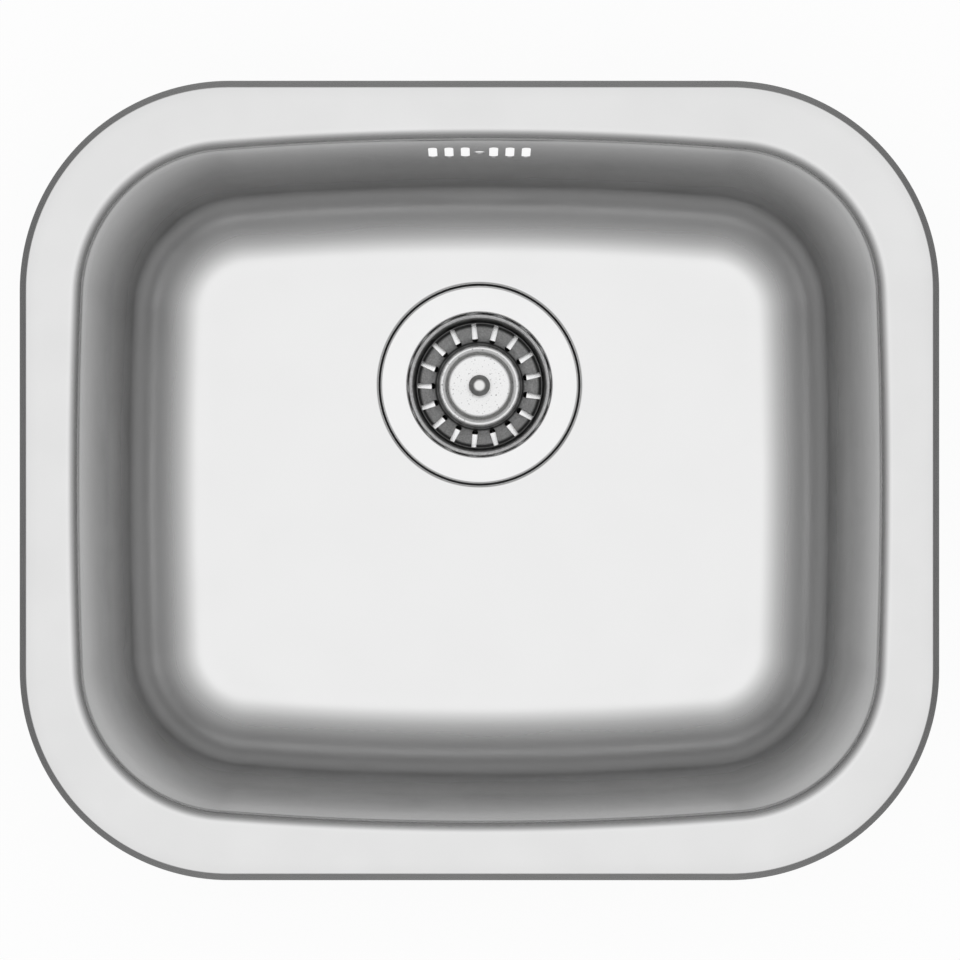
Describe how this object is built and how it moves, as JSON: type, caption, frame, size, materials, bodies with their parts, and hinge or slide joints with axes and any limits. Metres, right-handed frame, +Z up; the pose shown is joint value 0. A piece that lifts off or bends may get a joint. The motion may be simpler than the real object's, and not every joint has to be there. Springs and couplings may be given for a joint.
{
  "type": "inset kitchen sink",
  "caption": "Inset kitchen sink pressed from stainless steel: one bowed bowl with overflow slots, lift-out strainer waste and clamping clips under a bevelled rim.",
  "frame": {"origin": "middle of the rim in plan, at the level of the worktop's top face", "axes": "+Z up out of the bowl, +X along the long side, +Y towards the back, where the overflow and the waste are"},
  "size_m": [0.46, 0.4, 0.2485],
  "materials": {
    "bowl_steel": "fine satin pressed stainless steel",
    "cup_steel": "bright drawn stainless steel",
    "basket_steel": "tumbled stainless steel",
    "knob_steel": "turned bright steel",
    "brass": "turned brass",
    "black_rubber": "matt moulded rubber",
    "white_polypropylene": "satin moulded polypropylene",
    "grey_foam": "closed-cell foam strip",
    "damping_pad": "bitumen damping sheet",
    "zinc_plate": "bright zinc plate"
  },
  "bodies": {
    "sink": {"sink_bowl": "bowl_steel", "rim_seal": "grey_foam", "sound_pad": "damping_pad", "waste_cup": "cup_steel", "flange_seal": "black_rubber", "body_gasket": "black_rubber", "waste_body": "white_polypropylene", "waste_screw": "knob_steel", "waste_nut": "brass", "clip_brackets": "bowl_steel", "clip_nuts": "zinc_plate"},
    "plug": {"plug_stem": "knob_steel", "basket_knob": "knob_steel", "plug_seal": "black_rubber", "plug_washer": "knob_steel", "stem_ring": "knob_steel"},
    "basket": {"basket_shell": "basket_steel", "basket_dish": "basket_steel"},
    "clip_carrier_1": {"clip_washer_1": "zinc_plate"},
    "clip_screw_body_1": {"clip_screw_1": "zinc_plate"},
    "clip_claw_body_1": {"clip_claw_1": "zinc_plate"},
    "clip_carrier_2": {"clip_washer_2": "zinc_plate"},
    "clip_screw_body_2": {"clip_screw_2": "zinc_plate"},
    "clip_claw_body_2": {"clip_claw_2": "zinc_plate"},
    "clip_carrier_3": {"clip_washer_3": "zinc_plate"},
    "clip_screw_body_3": {"clip_screw_3": "zinc_plate"},
    "clip_claw_body_3": {"clip_claw_3": "zinc_plate"},
    "clip_carrier_4": {"clip_washer_4": "zinc_plate"},
    "clip_screw_body_4": {"clip_screw_4": "zinc_plate"},
    "clip_claw_body_4": {"clip_claw_4": "zinc_plate"},
    "clip_carrier_5": {"clip_washer_5": "zinc_plate"},
    "clip_screw_body_5": {"clip_screw_5": "zinc_plate"},
    "clip_claw_body_5": {"clip_claw_5": "zinc_plate"},
    "clip_carrier_6": {"clip_washer_6": "zinc_plate"},
    "clip_screw_body_6": {"clip_screw_6": "zinc_plate"},
    "clip_claw_body_6": {"clip_claw_6": "zinc_plate"}
  },
  "joints": [
    {"name": "basket_lift", "type": "slide", "parent": "sink", "child": "plug", "axis": [0, 0, 1], "range_m": [0, 0.21]},
    {"name": "basket_turn", "type": "hinge", "parent": "plug", "child": "basket", "pos_m": [0, 0.0535, -0.17], "axis": [0, 0, 1], "continuous": true},
    {"name": "clip_climb_1", "type": "slide", "parent": "sink", "child": "clip_carrier_1", "axis": [0, 0, 1], "range_m": [0, 0.014]},
    {"name": "clip_turn_1", "type": "hinge", "parent": "clip_carrier_1", "child": "clip_screw_body_1", "pos_m": [0.105, 0.1822, -0.03], "axis": [0, 0, 1], "range_deg": [0, 6300]},
    {"name": "clip_swing_1", "type": "hinge", "parent": "clip_carrier_1", "child": "clip_claw_body_1", "pos_m": [0.105, 0.1822, -0.045], "axis": [0, 0, 1], "range_deg": [-90, 90]},
    {"name": "clip_climb_2", "type": "slide", "parent": "sink", "child": "clip_carrier_2", "axis": [0, 0, 1], "range_m": [0, 0.014]},
    {"name": "clip_turn_2", "type": "hinge", "parent": "clip_carrier_2", "child": "clip_screw_body_2", "pos_m": [-0.105, 0.1822, -0.03], "axis": [0, 0, 1], "range_deg": [0, 6300]},
    {"name": "clip_swing_2", "type": "hinge", "parent": "clip_carrier_2", "child": "clip_claw_body_2", "pos_m": [-0.105, 0.1822, -0.045], "axis": [0, 0, 1], "range_deg": [-90, 90]},
    {"name": "clip_climb_3", "type": "slide", "parent": "sink", "child": "clip_carrier_3", "axis": [0, 0, 1], "range_m": [0, 0.014]},
    {"name": "clip_turn_3", "type": "hinge", "parent": "clip_carrier_3", "child": "clip_screw_body_3", "pos_m": [-0.2122, 0, -0.03], "axis": [0, 0, 1], "range_deg": [0, 6300]},
    {"name": "clip_swing_3", "type": "hinge", "parent": "clip_carrier_3", "child": "clip_claw_body_3", "pos_m": [-0.2122, 0, -0.045], "axis": [0, 0, 1], "range_deg": [-90, 90]},
    {"name": "clip_climb_4", "type": "slide", "parent": "sink", "child": "clip_carrier_4", "axis": [0, 0, 1], "range_m": [0, 0.014]},
    {"name": "clip_turn_4", "type": "hinge", "parent": "clip_carrier_4", "child": "clip_screw_body_4", "pos_m": [-0.105, -0.1822, -0.03], "axis": [0, 0, 1], "range_deg": [0, 6300]},
    {"name": "clip_swing_4", "type": "hinge", "parent": "clip_carrier_4", "child": "clip_claw_body_4", "pos_m": [-0.105, -0.1822, -0.045], "axis": [0, 0, 1], "range_deg": [-90, 90]},
    {"name": "clip_climb_5", "type": "slide", "parent": "sink", "child": "clip_carrier_5", "axis": [0, 0, 1], "range_m": [0, 0.014]},
    {"name": "clip_turn_5", "type": "hinge", "parent": "clip_carrier_5", "child": "clip_screw_body_5", "pos_m": [0.105, -0.1822, -0.03], "axis": [0, 0, 1], "range_deg": [0, 6300]},
    {"name": "clip_swing_5", "type": "hinge", "parent": "clip_carrier_5", "child": "clip_claw_body_5", "pos_m": [0.105, -0.1822, -0.045], "axis": [0, 0, 1], "range_deg": [-90, 90]},
    {"name": "clip_climb_6", "type": "slide", "parent": "sink", "child": "clip_carrier_6", "axis": [0, 0, 1], "range_m": [0, 0.014]},
    {"name": "clip_turn_6", "type": "hinge", "parent": "clip_carrier_6", "child": "clip_screw_body_6", "pos_m": [0.2122, 0, -0.03], "axis": [0, 0, 1], "range_deg": [0, 6300]},
    {"name": "clip_swing_6", "type": "hinge", "parent": "clip_carrier_6", "child": "clip_claw_body_6", "pos_m": [0.2122, 0, -0.045], "axis": [0, 0, 1], "range_deg": [-90, 90]}
  ],
  "couplings": [
    {"joint": "clip_turn_1", "follows": "clip_climb_1", "rad_per_m": 7854},
    {"joint": "clip_turn_2", "follows": "clip_climb_2", "rad_per_m": 7854},
    {"joint": "clip_turn_3", "follows": "clip_climb_3", "rad_per_m": 7854},
    {"joint": "clip_turn_4", "follows": "clip_climb_4", "rad_per_m": 7854},
    {"joint": "clip_turn_5", "follows": "clip_climb_5", "rad_per_m": 7854},
    {"joint": "clip_turn_6", "follows": "clip_climb_6", "rad_per_m": 7854}
  ]
}
